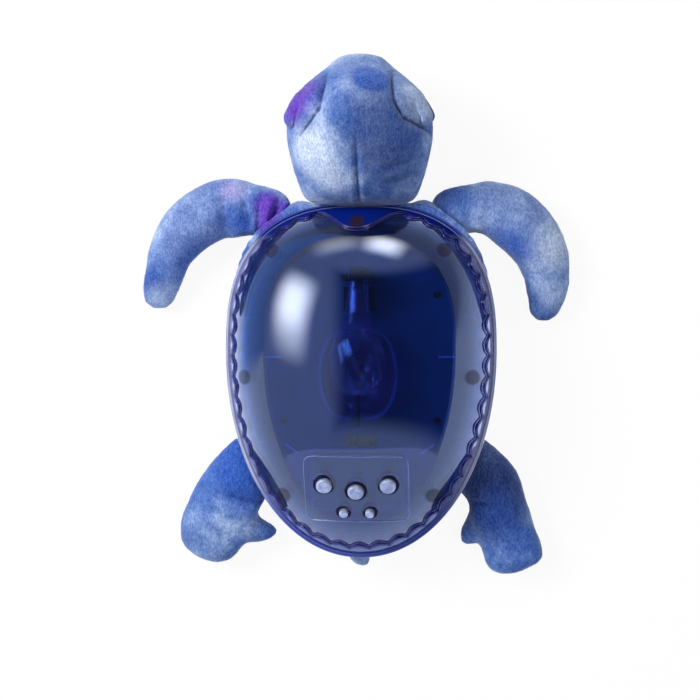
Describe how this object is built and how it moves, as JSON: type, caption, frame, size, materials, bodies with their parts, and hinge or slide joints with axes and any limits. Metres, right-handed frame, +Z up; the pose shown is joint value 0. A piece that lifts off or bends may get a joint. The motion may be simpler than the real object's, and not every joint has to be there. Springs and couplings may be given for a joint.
{
  "type": "turtle night light projector",
  "caption": "Plush sea turtle with a clear tinted dome shell that holds a lamp, a turning ripple drum and push buttons for casting soft light on a ceiling.",
  "frame": {"origin": "on the belly's flat face, under the middle of the shell", "axes": "+Z up, +Y towards the head, +X to the right seen from above"},
  "size_m": [0.3001, 0.3536, 0.116],
  "materials": {
    "dome_blue": "clear tinted plastic, polished",
    "bezel_blue": "clear tinted plastic, polished",
    "tray_blue": "tinted plastic, polished",
    "chassis_navy": "satin moulded plastic",
    "clear_lilac": "clear plastic with a ripple",
    "bracket_blue": "clear tinted plastic",
    "black_plastic": "satin black plastic",
    "pinion_ivory": "natural moulded nylon",
    "screw_brown": "blackened screws",
    "steel": "plain steel",
    "board_white": "white solder mask",
    "led_amber": "clear resin over phosphor",
    "board_brown": "bare paper board",
    "board_green": "green solder mask",
    "magnet_grey": "sintered ferrite",
    "cone_paper": "pressed paper",
    "cell_jacket": "plain printed jacket",
    "nickel": "nickel plate",
    "button_silver": "pearl plastic",
    "plush_blue": "short pile, mottled",
    "plush_violet": "short pile, mottled",
    "plush_lilac": "short pile, mottled",
    "eye_thread": "satin stitch",
    "elastic_white": "knitted elastic"
  },
  "bodies": {
    "shell": {"dome": "dome_blue", "scallop_bezel": "bezel_blue", "base_tray": "tray_blue", "plush_body": "plush_blue", "hem_elastic": "elastic_white", "tail": "plush_blue", "case_screws": "screw_brown", "chassis_plate": "chassis_navy", "chassis_screws": "screw_brown", "lamp_cradle": "clear_lilac", "bearing_post": "black_plastic", "motor": "steel", "motor_saddle": "black_plastic", "led_board": "board_white", "led_emitters": "led_amber", "driver_board": "board_brown", "main_board": "board_green", "board_parts": "black_plastic", "speaker_basket": "steel", "speaker_cone": "cone_paper", "speaker_magnet": "magnet_grey", "battery_cells": "cell_jacket", "battery_springs": "nickel", "battery_contacts": "nickel", "button_bracket": "bracket_blue", "button_board": "board_green", "key_switches": "black_plastic", "bracket_screws": "steel"},
    "drum": {"wave_drum": "clear_lilac", "drum_pin": "steel", "drum_gear": "black_plastic"},
    "pinion": {"motor_shaft": "steel", "motor_pinion": "pinion_ivory"},
    "battery_door": {"battery_door": "tray_blue", "door_screw": "steel"},
    "head": {"head": "plush_blue", "left_eyelid": "plush_violet", "right_eyelid": "plush_lilac", "left_eye": "eye_thread", "right_eye": "eye_thread"},
    "left_button": {"left_button": "button_silver"},
    "middle_button": {"middle_button": "button_silver"},
    "right_button": {"right_button": "button_silver"},
    "small_left_button": {"small_left_button": "button_silver"},
    "small_right_button": {"small_right_button": "button_silver"},
    "left_front_flipper": {"left_front_flipper": "plush_blue"},
    "right_front_flipper": {"right_front_flipper": "plush_blue"},
    "left_rear_flipper": {"left_rear_flipper": "plush_blue"},
    "right_rear_flipper": {"right_rear_flipper": "plush_blue"}
  },
  "joints": [
    {"name": "left_button_press", "type": "slide", "parent": "shell", "child": "left_button", "axis": [0, 0.5152, -0.8571], "range_m": [0, 0.0007], "stiffness_N_per_m": 600, "springref_m": -0.0005},
    {"name": "middle_button_press", "type": "slide", "parent": "shell", "child": "middle_button", "axis": [0, 0.5152, -0.8571], "range_m": [0, 0.0007], "stiffness_N_per_m": 600, "springref_m": -0.0005},
    {"name": "right_button_press", "type": "slide", "parent": "shell", "child": "right_button", "axis": [0, 0.5152, -0.8571], "range_m": [0, 0.0007], "stiffness_N_per_m": 600, "springref_m": -0.0005},
    {"name": "small_left_button_press", "type": "slide", "parent": "shell", "child": "small_left_button", "axis": [0, 0.5152, -0.8571], "range_m": [0, 0.0007], "stiffness_N_per_m": 600, "springref_m": -0.0005},
    {"name": "small_right_button_press", "type": "slide", "parent": "shell", "child": "small_right_button", "axis": [0, 0.5152, -0.8571], "range_m": [0, 0.0007], "stiffness_N_per_m": 600, "springref_m": -0.0005},
    {"name": "drum_spin", "type": "hinge", "parent": "shell", "child": "drum", "pos_m": [0, 0.02, 0.0765], "axis": [0, 1, 0], "continuous": true},
    {"name": "pinion_spin", "type": "hinge", "parent": "shell", "child": "pinion", "pos_m": [0, 0.0685, 0.0596], "axis": [0, 1, 0], "continuous": true},
    {"name": "battery_door_swing", "type": "hinge", "parent": "shell", "child": "battery_door", "pos_m": [0, -0.0123, 0.009], "axis": [1, 0, 0], "range_deg": [0, 75]},
    {"name": "head_nod", "type": "hinge", "parent": "shell", "child": "head", "pos_m": [0, 0.1221, 0.046], "axis": [1, 0, 0], "range_deg": [-4, 10], "stiffness_Nm_per_rad": 2, "springref_deg": 1.72},
    {"name": "left_front_flipper_lift", "type": "hinge", "parent": "shell", "child": "left_front_flipper", "pos_m": [-0.07001, 0.10448, 0.036], "axis": [0.719, 0.695, 0], "range_deg": [0, 35]},
    {"name": "right_front_flipper_lift", "type": "hinge", "parent": "shell", "child": "right_front_flipper", "pos_m": [0.07001, 0.10448, 0.036], "axis": [0.719, -0.695, 0], "range_deg": [0, 35]},
    {"name": "left_rear_flipper_lift", "type": "hinge", "parent": "shell", "child": "left_rear_flipper", "pos_m": [-0.07133, -0.0656, 0.036], "axis": [-0.4492, 0.8934, 0], "range_deg": [0, 35]},
    {"name": "right_rear_flipper_lift", "type": "hinge", "parent": "shell", "child": "right_rear_flipper", "pos_m": [0.07133, -0.0656, 0.036], "axis": [-0.4492, -0.8934, 0], "range_deg": [0, 35]}
  ],
  "couplings": [
    {"joint": "pinion_spin", "follows": "drum_spin", "ratio": -2}
  ]
}
